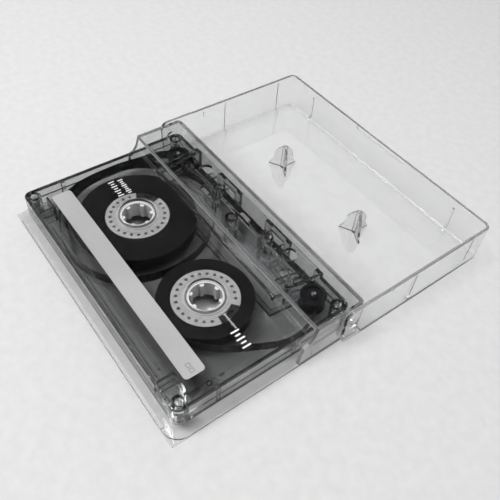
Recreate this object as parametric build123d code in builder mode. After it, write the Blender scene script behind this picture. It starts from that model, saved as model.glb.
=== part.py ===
"""Hinged cassette tape case, open flat through 180 degrees, with a compact cassette held in the pocket of its lid.

Millimetres, +Z up, Z = 0 on the surface the open case lies on. X runs along the case's length and the hinge,
+Y from the lid towards the tray. Every section below is drawn from the outer face of the spine (section Y = 0),
which stands Y_SPINE from the origin, so that the origin is at the middle of the open case's footprint.
"""

from math import cos, hypot, radians, sin
import os

from build123d import *

os.makedirs("parts", exist_ok=True)

# ---------------------------------------------------------------- case, driving dimensions
CASE_LENGTH = 109.0        # outside length of the tray, along X
CASE_THICK = 16.8          # thickness of the closed case
WALL = 1.2                 # floor, panel and spine thickness
TRAY_SIDE_WALL = 1.05
TRAY_FORE_IN = 58.1        # inner face of the tray's fore wall
TRAY_FORE_OUT = 59.1       # outer face of it
TRAY_FLOOR_START = 0.5     # the floor begins just outside the spine
TRAY_HEIGHT = 15.6         # top of the tray's walls
EAR_END = -8.2             # the tray's side walls reach past the hinge as ears
EAR_CORNER = 3.2
LID_DEPTH = 69.5           # lid panel, from the spine to the fore edge
LID_HALF = 53.1            # half the lid's length: it lies between the tray's side walls
LID_WALL = 1.3
POCKET_TOP = 15.5
POCKET_DEPTH = 18.8        # depth of the short panel that holds the cassette down
HINGE_Y = -4.4
HINGE_Z = CASE_THICK / 2 + 0.015   # so the closed tray stops 0.03 above the lid panel
HINGE_PIN_R = 2.2
HINGE_HOLE_R = 2.28        # running clearance of 0.08
DETENT_Y, DETENT_Z = 11.6, 13.0
DETENT_DEEP = 0.12
AIR_GAP = 0.03             # between the cassette and the lid panel, and half as much at the shell's parting plane

# ---------------------------------------------------------------- cassette, driving dimensions
CAS_HALF = 50.2            # 100.4 long
CAS_FRONT = -2.5           # tape-opening edge
CAS_REAR = CAS_FRONT - 63.8
CAS_BOTTOM = WALL          # the thick part rests on the lid panel
CAS_THICK = 12.0
CAS_THIN = 8.7
CAS_TOP = CAS_BOTTOM + CAS_THICK
Z_MID = CAS_BOTTOM + CAS_THICK / 2          # parting plane of the two shell halves
THIN_TOP = Z_MID + CAS_THIN / 2
THIN_BOTTOM = Z_MID - CAS_THIN / 2
SHELL_FACE = 1.2
SHELL_RIM = 1.3
CAS_CORNER = 2.6
HUB_X = 21.25              # hubs 42.5 apart
HUB_Y = CAS_FRONT - 34.8
TRAP_REAR = -21.8          # rear edge of the thick part
TRAP_HALF_REAR = 34.8
TRAP_HALF_FRONT = 36.6
HUB_HOLE_R = 6.25
CAPSTAN_X, CAPSTAN_Y, CAPSTAN_R = 24.45, -6.6, 2.6
LOCATE_X, LOCATE_Y, LOCATE_R = 14.15, -7.9, 1.4
TALL_WINDOWS = [(-33.6, -20.6), (-7.5, 7.5), (20.6, 33.6)]     # pinch rollers and head
LOW_WINDOWS = [(-17.8, -10.4), (10.4, 17.8)]                   # erase head and tape fork
TALL_HALF_Z, LOW_HALF_Z = 4.7, 3.0

HUB_R = 11.0
HUB_BARREL_R = 5.95
BARREL_HALF = 3.05         # the barrel ends just inside the shell's holes
HUB_BORE_R = 5.3
TOOTH_TIP_R = 4.3
TAPE_WIDTH = 3.8
PACK_R_SUPPLY = 20.6
PACK_R_TAKEUP = 15.6
NOTCH_IN_R = 8.2
NOTCH_WIDTH = 46.0         # degrees
NOTCH_SUPPLY, NOTCH_TAKEUP = 130.5, 16.0
DIMPLES = 24
DIMPLE_R, DIMPLE_DEEP = 0.6, 1.3

ROLLER_X, ROLLER_Y = 39.9, -9.1
ROLLER_R, FLANGE_R = 3.75, 4.35
ROLLER_BORE_R, PIN_R = 0.82, 0.75
TAPE_GAP, TAPE_T = 0.12, 0.08

SCREW_CORNERS = {
    "screw_rear_left": (-47.2, -63.3),
    "screw_rear_right": (47.2, -63.3),
    "screw_front_left": (-47.4, -5.6),
    "screw_front_right": (47.4, -5.6),
}
SCREW_CENTRE = (0.0, -12.6)
SCREW_R, SCREW_HEAD_R, BOSS_R = 1.15, 2.0, 2.3
HEAD_SINK = 1.1            # depth of the counterbores in the lower face

LABEL_X, LABEL_Y0, LABEL_Y1, LABEL_T = 43.2, -58.7, -51.7, 0.12

# ---------------------------------------------------------------- working planes, from the footprint of the open case
Y_SPINE = (LID_DEPTH - TRAY_FORE_OUT) / 2
TOP = Plane(origin=(0, Y_SPINE, 0), x_dir=(1, 0, 0), z_dir=(0, 0, 1))
SIDE = Plane(origin=(0, Y_SPINE, 0), x_dir=(0, 1, 0), z_dir=(1, 0, 0))    # local (y, z), normal +X
FRONT = Plane(origin=(0, Y_SPINE, 0), x_dir=(1, 0, 0), z_dir=(0, -1, 0))  # local (x, z), normal -Y


def block(x0, x1, y0, y1, r=0.0):
    """A rectangle between two corners, in the sketch that is open."""
    with Locations(((x0 + x1) / 2, (y0 + y1) / 2)):
        if r:
            RectangleRounded(x1 - x0, y1 - y0, r)
        else:
            Rectangle(x1 - x0, y1 - y0)


def block_cut(x0, x1, y0, y1):
    """The same, taken away."""
    with Locations(((x0 + x1) / 2, (y0 + y1) / 2)):
        Rectangle(x1 - x0, y1 - y0, mode=Mode.SUBTRACT)


def sector(cx, cy, r0, r1, a0, a1, n=14):
    """Corner points of an annular sector, angles in degrees."""
    arc = [radians(a0 + (a1 - a0) * i / n) for i in range(n + 1)]
    return [(cx + r1 * cos(a), cy + r1 * sin(a)) for a in arc] + [
        (cx + r0 * cos(a), cy + r0 * sin(a)) for a in reversed(arc)
    ]


# ================================================================ case lid: panel, spine and pocket in one moulding
POCKET_SIDE = [
    (0, 0), (0, POCKET_TOP), (-POCKET_DEPTH, POCKET_TOP), (-20.0, 11.4), (-21.4, 9.5),
    (-23.3, 8.5), (-24.0, 6.4), (-24.4, 3.4), (-24.6, 0),
]
with BuildPart() as case_lid:
    # the hollow bar with the pocket's side profile
    with BuildSketch(SIDE.offset(-LID_HALF)):
        Polygon(*POCKET_SIDE, align=None)
    extrude(amount=2 * LID_HALF)
    spine_corners = (
        case_lid.edges().filter_by(Axis.Z).sort_by(Axis.Y)[-2:]
    )
    fillet(spine_corners, 1.8)
    fillet(case_lid.faces().sort_by(Axis.Z)[-1].edges().sort_by(Axis.Y)[1:], 0.45)
    with BuildSketch(TOP.offset(WALL)):
        block(-LID_HALF + LID_WALL, LID_HALF - LID_WALL, -30.0, -LID_WALL, 0.6)
    extrude(amount=POCKET_TOP - LID_WALL - WALL, mode=Mode.SUBTRACT)
    # the flat panel: square corners at its foot, round ones above
    with BuildSketch(TOP) as foot:
        block(-LID_HALF, LID_HALF, -LID_DEPTH, -10.0)
        fillet(foot.vertices().group_by(Axis.Y)[0], 0.5)
    extrude(amount=0.5)
    with BuildSketch(TOP) as panel:
        block(-LID_HALF, LID_HALF, -LID_DEPTH, -10.0)
        fillet(panel.vertices().group_by(Axis.Y)[0], 5.5)
    extrude(amount=WALL)
    # shallow field inside the panel's border
    with BuildSketch(TOP.offset(WALL - 0.2)):
        block(-LID_HALF + 3.4, LID_HALF - 3.4, -LID_DEPTH + 3.6, -27.0, 3.4)
    extrude(amount=0.2, mode=Mode.SUBTRACT)
    # clearance under the cassette's thick part
    with BuildSketch(TOP.offset(WALL - AIR_GAP)):
        block(-LID_HALF + LID_WALL, LID_HALF - LID_WALL, -27.5, -LID_WALL)
    extrude(amount=1.0, mode=Mode.SUBTRACT)
    # low lip along the fore edge, outside the closed tray
    with BuildSketch(TOP.offset(WALL)):
        block(-LID_HALF + 5.8, LID_HALF - 5.8, -LID_DEPTH, -LID_DEPTH + 1.0)
    extrude(amount=0.9)
    # two low beads that stop the cassette sliding along the panel
    with BuildSketch(TOP.offset(WALL - 0.1)):
        block(-30.0, -18.0, -23.6, -22.8, 0.3)
        block(18.0, 30.0, -23.6, -22.8, 0.3)
    extrude(amount=0.8)
    # hinge holes through both side walls
    with BuildSketch(SIDE.offset(-LID_HALF - 1)):
        with Locations((HINGE_Y, HINGE_Z)):
            Circle(HINGE_HOLE_R)
    extrude(amount=2 * LID_HALF + 2, mode=Mode.SUBTRACT)
    # detent dimples in the outer faces of the side walls
    with BuildSketch(SIDE.offset(-LID_HALF - 1)):
        with Locations((2 * HINGE_Y - DETENT_Y, CASE_THICK - DETENT_Z)):
            SlotOverall(2.8, 1.3, rotation=90)
    extrude(amount=1.0 + DETENT_DEEP, mode=Mode.SUBTRACT)
    with BuildSketch(SIDE.offset(LID_HALF - DETENT_DEEP)):
        with Locations((2 * HINGE_Y - DETENT_Y, CASE_THICK - DETENT_Z)):
            SlotOverall(2.8, 1.3, rotation=90)
    extrude(amount=1.5, mode=Mode.SUBTRACT)
case_lid.part.label = "case_lid"
export_step(case_lid.part, "parts/case_lid.step")

# ================================================================ case tray: floor, walls, ears, hub-lock posts
TRAY_HALF = CASE_LENGTH / 2
TRAY_IN = TRAY_HALF - TRAY_SIDE_WALL
POST_Y = 2 * HINGE_Y - HUB_Y
EAR = [
    (6.0, 0), (6.0, TRAY_HEIGHT), (EAR_END + EAR_CORNER, TRAY_HEIGHT),
]
for k in range(7):
    a = radians(90 + 15 * k)
    EAR.append((EAR_END + EAR_CORNER + EAR_CORNER * cos(a), TRAY_HEIGHT - EAR_CORNER + EAR_CORNER * sin(a)))
for k in range(7):
    a = radians(180 + 15 * k)
    EAR.append((EAR_END + EAR_CORNER + EAR_CORNER * cos(a), EAR_CORNER + EAR_CORNER * sin(a)))
FIN = [(0, 0), (6.2, 0), (5.5, 0.9), (4.9, 2.0), (4.35, 3.4), (4.0, 5.0), (3.9, 6.5), (2.7, 8.4), (1.0, 10.0), (0, 10.0)]
with BuildPart() as case_tray:
    # floor
    with BuildSketch(TOP) as floor:
        block(-TRAY_HALF, TRAY_HALF, TRAY_FLOOR_START, TRAY_FORE_OUT)
        fillet(floor.vertices().group_by(Axis.Y)[-1], 2.6)
    extrude(amount=WALL)
    # three walls
    with BuildSketch(TOP) as walls:
        block(-TRAY_HALF, TRAY_HALF, 5.0, TRAY_FORE_OUT)
        fillet(walls.vertices().group_by(Axis.Y)[-1], 2.6)
        with Locations((0, (TRAY_FORE_IN - 20.0) / 2)):
            Rectangle(2 * TRAY_IN, TRAY_FORE_IN + 20.0, mode=Mode.SUBTRACT)
        fillet(walls.vertices().filter_by(lambda v: abs(abs(v.X) - TRAY_IN) < 0.01 and v.Y > 50), 1.6)
    extrude(amount=TRAY_HEIGHT)
    fillet(case_tray.faces().sort_by(Axis.Z)[-1].edges(), 0.3)
    # ears, with the top edge run on
    with BuildSketch(SIDE.offset(-TRAY_HALF)):
        Polygon(*EAR, align=None)
    extrude(amount=TRAY_SIDE_WALL)
    with BuildSketch(SIDE.offset(TRAY_IN)):
        Polygon(*EAR, align=None)
    extrude(amount=TRAY_SIDE_WALL)
    # ledge along the foot of the fore wall
    with BuildSketch(TOP.offset(WALL)):
        block(-TRAY_IN, TRAY_IN, TRAY_FORE_IN - 0.8, TRAY_FORE_IN)
    extrude(amount=0.7)
    # hinge pins, inwards from the ears
    with BuildSketch(SIDE.offset(TRAY_IN - 1.45)):
        with Locations((HINGE_Y, HINGE_Z)):
            Circle(HINGE_PIN_R)
    extrude(amount=1.46)
    with BuildSketch(SIDE.offset(-TRAY_IN - 0.01)):
        with Locations((HINGE_Y, HINGE_Z)):
            Circle(HINGE_PIN_R)
    extrude(amount=1.46)
    # detent pips
    with BuildSketch(SIDE.offset(TRAY_IN - 0.27)):
        with Locations((DETENT_Y, DETENT_Z)):
            SlotOverall(2.2, 0.8, rotation=90)
    extrude(amount=0.3)
    with BuildSketch(SIDE.offset(-TRAY_IN - 0.03)):
        with Locations((DETENT_Y, DETENT_Z)):
            SlotOverall(2.2, 0.8, rotation=90)
    extrude(amount=0.3)
    # gusset ribs on the side walls
    for y in (22.2, 50.0):
        with BuildSketch(FRONT.offset(-y - 0.4)):
            Polygon((TRAY_IN + 0.1, WALL - 0.1), (TRAY_IN + 0.1, 14.2), (TRAY_IN - 0.35, 14.2), (TRAY_IN - 0.6, 8.0), (TRAY_IN - 1.5, WALL - 0.1), align=None)
            Polygon((-TRAY_IN - 0.1, WALL - 0.1), (-TRAY_IN + 1.5, WALL - 0.1), (-TRAY_IN + 0.6, 8.0), (-TRAY_IN + 0.35, 14.2), (-TRAY_IN - 0.1, 14.2), align=None)
        extrude(amount=0.8)
    # gusset ribs on the fore wall, kept clear of the cassette's rear edge when closed
    for x in (-39.2, 39.2):
        with BuildSketch(SIDE.offset(x - 0.4)):
            Polygon((TRAY_FORE_IN + 0.1, WALL - 0.1), (TRAY_FORE_IN - 1.3, WALL - 0.1), (TRAY_FORE_IN - 0.25, 4.2), (TRAY_FORE_IN - 0.25, 12.1), (TRAY_FORE_IN + 0.1, 12.4), align=None)
        extrude(amount=0.8)
    # thumb recess under the rim of the fore wall, outside
    with BuildSketch(FRONT.offset(-TRAY_FORE_OUT - 0.5)):
        block(-13.0, 13.0, 13.4, TRAY_HEIGHT + 1)
    extrude(amount=0.8, mode=Mode.SUBTRACT)
    # hub-lock posts: three tapered fins each
    for x in (-HUB_X, HUB_X):
        for a in (90, 210, 330):
            radial = Plane(
                origin=(x, Y_SPINE + POST_Y, WALL - 0.02),
                x_dir=(cos(radians(a)), sin(radians(a)), 0),
                z_dir=(sin(radians(a)), -cos(radians(a)), 0),
            )
            with BuildSketch(radial):
                Polygon(*FIN, align=None)
            extrude(amount=0.45, both=True)
        with BuildSketch(TOP.offset(WALL - 0.02)):
            with Locations((x, POST_Y)):
                Circle(1.15)
        extrude(amount=10.02)
case_tray.part.label = "case_tray"
export_step(case_tray.part, "parts/case_tray.step")

# ================================================================ cassette shell halves
TRAP = [
    (-TRAP_HALF_FRONT, CAS_FRONT), (-TRAP_HALF_REAR, TRAP_REAR), (TRAP_HALF_REAR, TRAP_REAR), (TRAP_HALF_FRONT, CAS_FRONT),
]
TRAP_IN = [
    (-TRAP_HALF_FRONT + 1.2, CAS_FRONT - SHELL_RIM), (-TRAP_HALF_REAR + 1.2, TRAP_REAR + 1.2),
    (TRAP_HALF_REAR - 1.2, TRAP_REAR + 1.2), (TRAP_HALF_FRONT - 1.2, CAS_FRONT - SHELL_RIM),
]
RISE = (CAS_THICK - CAS_THIN) / 2
FACE_IN = THIN_TOP - SHELL_FACE            # inner face of the upper half's thin part
FLOOR_IN = THIN_BOTTOM + SHELL_FACE        # the same of the lower half
PEGS = [(49.0, -52.0), (-49.0, -52.0), (49.0, -24.5), (-49.0, -24.5)]
PEG_BOSS_R = 0.8
ROLLER_PLACES = [(-ROLLER_X, ROLLER_Y), (ROLLER_X, ROLLER_Y)]


def strip(points, t):
    """Outline of a wall of thickness t along a line of points."""
    left, right = [], []
    for i, (x, y) in enumerate(points):
        x0, y0 = points[max(i - 1, 0)]
        x1, y1 = points[min(i + 1, len(points) - 1)]
        d = hypot(x1 - x0, y1 - y0)
        nx, ny = -(y1 - y0) / d * t / 2, (x1 - x0) / d * t / 2
        left.append((x + nx, y + ny))
        right.append((x - nx, y - ny))
    return left + right[::-1]


def inner_walls():
    """Full-height walls inside a half: the write-protect chambers at the rear corners."""
    for s in (-1, 1):
        x0, x1 = sorted((s * 38.4, s * 39.2))
        block(x0, x1, CAS_REAR + 1.0, -60.2)
        x0, x1 = sorted((s * 38.4, s * 44.6))
        block(x0, x1, -60.2, -59.4)


def nose_ribs():
    """Low ribs inside the thick part, clear of the tape: round the head and pinch roller openings."""
    for s in (-1, 1):
        for run in (
            [(12.6, -10.3), (20.9, -9.9), (24.5, -10.3), (31.0, -11.7), (32.3, -12.6), (33.4, -15.2)],
            [(30.0, -16.6), (30.7, -12.0), (32.1, -6.6)],
            [(32.7, -11.6), (33.5, -8.4)],
            [(19.4, -10.1), (19.5, -7.6), (19.6, -5.0)],
            [(12.2, -9.2), (12.3, -7.0), (12.3, -5.2)],
        ):
            points = strip([(s * x, y) for x, y in run], 0.7)
            Polygon(*points, align=None)
        with Locations((s * LOCATE_X, LOCATE_Y)):
            Circle(LOCATE_R + 0.75)


def rear_ribs():
    """Low stiffening ribs along the long rear edge, clear of the tape."""
    block(-35.5, 35.5, -62.9, -62.2)
    block(-37.0, 37.0, -64.4, -63.9)


with BuildPart() as shell_upper:
    with BuildSketch(TOP.offset(Z_MID)):
        block(-CAS_HALF, CAS_HALF, CAS_REAR, CAS_FRONT, CAS_CORNER)
    extrude(amount=CAS_THIN / 2)
    fillet(shell_upper.faces().sort_by(Axis.Z)[-1].edges(), 0.5)
    with BuildSketch(TOP.offset(THIN_TOP - 0.7)):
        Polygon(*TRAP, align=None)
    extrude(amount=RISE + 0.7)
    fillet(shell_upper.faces().sort_by(Axis.Z)[-1].edges(), 0.35)
    with BuildSketch(TOP.offset(Z_MID)):
        block(-CAS_HALF + SHELL_RIM, CAS_HALF - SHELL_RIM, CAS_REAR + SHELL_RIM, CAS_FRONT - SHELL_RIM, 1.5)
    extrude(amount=FACE_IN - Z_MID, mode=Mode.SUBTRACT)
    with BuildSketch(TOP.offset(FACE_IN)):
        Polygon(*TRAP_IN, align=None)
    extrude(amount=RISE, mode=Mode.SUBTRACT)
    # inner walls, bosses, roller seats, peg sockets
    with BuildSketch(TOP.offset(Z_MID)):
        inner_walls()
    extrude(amount=FACE_IN - Z_MID + 0.05)
    with BuildSketch(TOP.offset(Z_MID)):
        with Locations(*SCREW_CORNERS.values()):
            Circle(BOSS_R)
        with Locations(*PEGS):
            Circle(PEG_BOSS_R)
    extrude(amount=FACE_IN - Z_MID + 0.05)
    with BuildSketch(TOP.offset(Z_MID)):
        with Locations(SCREW_CENTRE):
            Circle(BOSS_R)
    extrude(amount=FACE_IN + RISE - Z_MID + 0.05)
    # low ribs on the inner face
    with BuildSketch(TOP.offset(Z_MID + TAPE_WIDTH / 2 + 0.3)):
        nose_ribs()
    extrude(amount=FACE_IN + RISE - Z_MID - TAPE_WIDTH / 2 - 0.25)
    with BuildSketch(TOP.offset(FACE_IN - 0.7)):
        rear_ribs()
    extrude(amount=0.75)
    # pilot holes, blind under the upper face
    with BuildSketch(TOP.offset(Z_MID - 1)):
        with Locations(*SCREW_CORNERS.values()):
            Circle(SCREW_R + 0.05)
    extrude(amount=FACE_IN - Z_MID + 1.0, mode=Mode.SUBTRACT)
    with BuildSketch(TOP.offset(Z_MID - 1)):
        with Locations(SCREW_CENTRE):
            Circle(SCREW_R + 0.05)
    extrude(amount=FACE_IN + RISE - Z_MID + 1.0, mode=Mode.SUBTRACT)
    # holes for spindles, capstans, locating pins and the roller pins' ends
    with BuildSketch(TOP.offset(Z_MID)):
        with Locations((-HUB_X, HUB_Y), (HUB_X, HUB_Y)):
            Circle(HUB_HOLE_R)
        with Locations((-CAPSTAN_X, CAPSTAN_Y), (CAPSTAN_X, CAPSTAN_Y)):
            Circle(CAPSTAN_R)
        with Locations((-LOCATE_X, LOCATE_Y), (LOCATE_X, LOCATE_Y)):
            Circle(LOCATE_R)
    extrude(amount=12, mode=Mode.SUBTRACT)
    with BuildSketch(TOP.offset(Z_MID)):
        with Locations(*ROLLER_PLACES):
            Circle(PIN_R + 0.05)
    extrude(amount=FACE_IN - Z_MID + 0.5, mode=Mode.SUBTRACT)
    with BuildSketch(TOP.offset(Z_MID - 0.5)):
        with Locations(*PEGS):
            Circle(0.5)
    extrude(amount=1.6, mode=Mode.SUBTRACT)
    # front openings
    with BuildSketch(FRONT.offset(-CAS_FRONT - 0.5)):
        for x0, x1 in TALL_WINDOWS:
            block(x0, x1, Z_MID - 1, Z_MID + TALL_HALF_Z)
        for x0, x1 in LOW_WINDOWS:
            block(x0, x1, Z_MID - 1, Z_MID + LOW_HALF_Z)
    extrude(amount=SHELL_RIM + 0.8, mode=Mode.SUBTRACT)
    # write-protect notch in the rear edge
    with BuildSketch(TOP.offset(Z_MID + 0.0)):
        block(39.2, 43.6, CAS_REAR - 1, CAS_REAR + 2.0)
    extrude(amount=3.1, mode=Mode.SUBTRACT)
    # two moulded scale dots between the reels
    with BuildSketch(TOP.offset(THIN_TOP - 0.05)):
        with Locations((-2.6, -36.6), (2.6, -36.6)):
            Circle(0.45)
    extrude(amount=0.2)
    # the halves meet with a hair's breadth of air
    with BuildSketch(TOP.offset(Z_MID - 1)):
        block(-CAS_HALF - 1, CAS_HALF + 1, CAS_REAR - 1, CAS_FRONT + 1)
    extrude(amount=1 + AIR_GAP / 2, mode=Mode.SUBTRACT)
shell_upper.part.label = "shell_upper"
export_step(shell_upper.part, "parts/shell_upper.step")

with BuildPart() as shell_lower:
    with BuildSketch(TOP.offset(THIN_BOTTOM)):
        block(-CAS_HALF, CAS_HALF, CAS_REAR, CAS_FRONT, CAS_CORNER)
    extrude(amount=CAS_THIN / 2)
    fillet(shell_lower.faces().sort_by(Axis.Z)[0].edges(), 0.5)
    with BuildSketch(TOP.offset(CAS_BOTTOM)):
        Polygon(*TRAP, align=None)
    extrude(amount=RISE + 0.7)
    fillet(shell_lower.faces().sort_by(Axis.Z)[0].edges(), 0.35)
    with BuildSketch(TOP.offset(FLOOR_IN)):
        block(-CAS_HALF + SHELL_RIM, CAS_HALF - SHELL_RIM, CAS_REAR + SHELL_RIM, CAS_FRONT - SHELL_RIM, 1.5)
    extrude(amount=Z_MID - FLOOR_IN, mode=Mode.SUBTRACT)
    with BuildSketch(TOP.offset(CAS_BOTTOM + SHELL_FACE)):
        Polygon(*TRAP_IN, align=None)
    extrude(amount=RISE, mode=Mode.SUBTRACT)
    with BuildSketch(TOP.offset(FLOOR_IN - 0.05)):
        inner_walls()
    extrude(amount=Z_MID - FLOOR_IN + 0.05)
    with BuildSketch(TOP.offset(FLOOR_IN - 0.05)):
        with Locations(*SCREW_CORNERS.values()):
            Circle(BOSS_R)
        with Locations(*PEGS):
            Circle(PEG_BOSS_R)
    extrude(amount=Z_MID - FLOOR_IN + 0.05)
    with BuildSketch(TOP.offset(CAS_BOTTOM + SHELL_FACE - 0.05)):
        with Locations(SCREW_CENTRE):
            Circle(BOSS_R)
    extrude(amount=Z_MID - CAS_BOTTOM - SHELL_FACE + 0.05)
    with BuildSketch(TOP.offset(CAS_BOTTOM + SHELL_FACE - 0.05)):
        nose_ribs()
    extrude(amount=Z_MID - TAPE_WIDTH / 2 - 0.3 - CAS_BOTTOM - SHELL_FACE + 0.05)
    with BuildSketch(TOP.offset(FLOOR_IN - 0.05)):
        rear_ribs()
    extrude(amount=0.75)
    # alignment pegs into the upper half's sockets
    with BuildSketch(TOP.offset(Z_MID - 0.05)):
        with Locations(*PEGS):
            Circle(0.42)
    extrude(amount=1.0)
    # screw clearance, and counterbores in the outer face
    with BuildSketch(TOP.offset(CAS_BOTTOM - 1)):
        with Locations(*SCREW_CORNERS.values(), SCREW_CENTRE):
            Circle(SCREW_R + 0.15)
    extrude(amount=10, mode=Mode.SUBTRACT)
    with BuildSketch(TOP.offset(THIN_BOTTOM - 1)):
        with Locations(*SCREW_CORNERS.values()):
            Circle(SCREW_HEAD_R + 0.2)
    extrude(amount=1 + HEAD_SINK, mode=Mode.SUBTRACT)
    with BuildSketch(TOP.offset(CAS_BOTTOM - 1)):
        with Locations(SCREW_CENTRE):
            Circle(SCREW_HEAD_R + 0.2)
    extrude(amount=1 + HEAD_SINK, mode=Mode.SUBTRACT)
    with BuildSketch(TOP.offset(CAS_BOTTOM - 1)):
        with Locations((-HUB_X, HUB_Y), (HUB_X, HUB_Y)):
            Circle(HUB_HOLE_R)
        with Locations((-CAPSTAN_X, CAPSTAN_Y), (CAPSTAN_X, CAPSTAN_Y)):
            Circle(CAPSTAN_R)
        with Locations((-LOCATE_X, LOCATE_Y), (LOCATE_X, LOCATE_Y)):
            Circle(LOCATE_R)
    extrude(amount=8, mode=Mode.SUBTRACT)
    with BuildSketch(TOP.offset(FLOOR_IN - 0.5)):
        with Locations(*ROLLER_PLACES):
            Circle(PIN_R + 0.05)
    extrude(amount=3, mode=Mode.SUBTRACT)
    with BuildSketch(FRONT.offset(-CAS_FRONT - 0.5)):
        for x0, x1 in TALL_WINDOWS:
            block(x0, x1, Z_MID - TALL_HALF_Z, Z_MID + 1)
        for x0, x1 in LOW_WINDOWS:
            block(x0, x1, Z_MID - LOW_HALF_Z, Z_MID + 1)
    extrude(amount=SHELL_RIM + 0.8, mode=Mode.SUBTRACT)
shell_lower.part.label = "shell_lower"
export_step(shell_lower.part, "parts/shell_lower.step")

# ================================================================ screws, driven up from the lower face
for name, (sx, sy) in {**SCREW_CORNERS, "screw_centre": SCREW_CENTRE}.items():
    seat = (CAS_BOTTOM if name == "screw_centre" else THIN_BOTTOM) + HEAD_SINK
    tip = FACE_IN - 0.35
    with BuildPart() as screw:
        with BuildSketch(TOP.offset(seat)):
            with Locations((sx, sy)):
                Circle(SCREW_R)
        extrude(amount=tip - 1.0 - seat)
        with BuildSketch(TOP.offset(tip - 1.0)):
            with Locations((sx, sy)):
                Circle(0.45)
        extrude(amount=1.0)
        with BuildSketch(TOP.offset(seat - 0.85)):
            with Locations((sx, sy)):
                Circle(SCREW_HEAD_R)
        extrude(amount=0.85)
        fillet(screw.faces().sort_by(Axis.Z)[0].edges(), 0.35)
        with BuildSketch(TOP.offset(seat - 1.25)):
            with Locations((sx, sy)):
                Rectangle(2.2, 0.5, rotation=28)
                Rectangle(2.2, 0.5, rotation=118)
        extrude(amount=1.0, mode=Mode.SUBTRACT)
    screw.part.label = name
    export_step(screw.part, f"parts/{name}.step")

# ================================================================ labels on both faces
with BuildPart() as label_upper:
    with BuildSketch(TOP.offset(THIN_TOP)):
        block(-LABEL_X, LABEL_X, LABEL_Y0, LABEL_Y1, 1.2)
    extrude(amount=LABEL_T)
label_upper.part.label = "label_upper"
export_step(label_upper.part, "parts/label_upper.step")

with BuildPart() as label_lower:
    with BuildSketch(TOP.offset(THIN_BOTTOM - LABEL_T)):
        block(-LABEL_X, LABEL_X, LABEL_Y0, LABEL_Y1, 1.2)
    extrude(amount=LABEL_T)
label_lower.part.label = "label_lower"
export_step(label_lower.part, "parts/label_lower.step")

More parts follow.
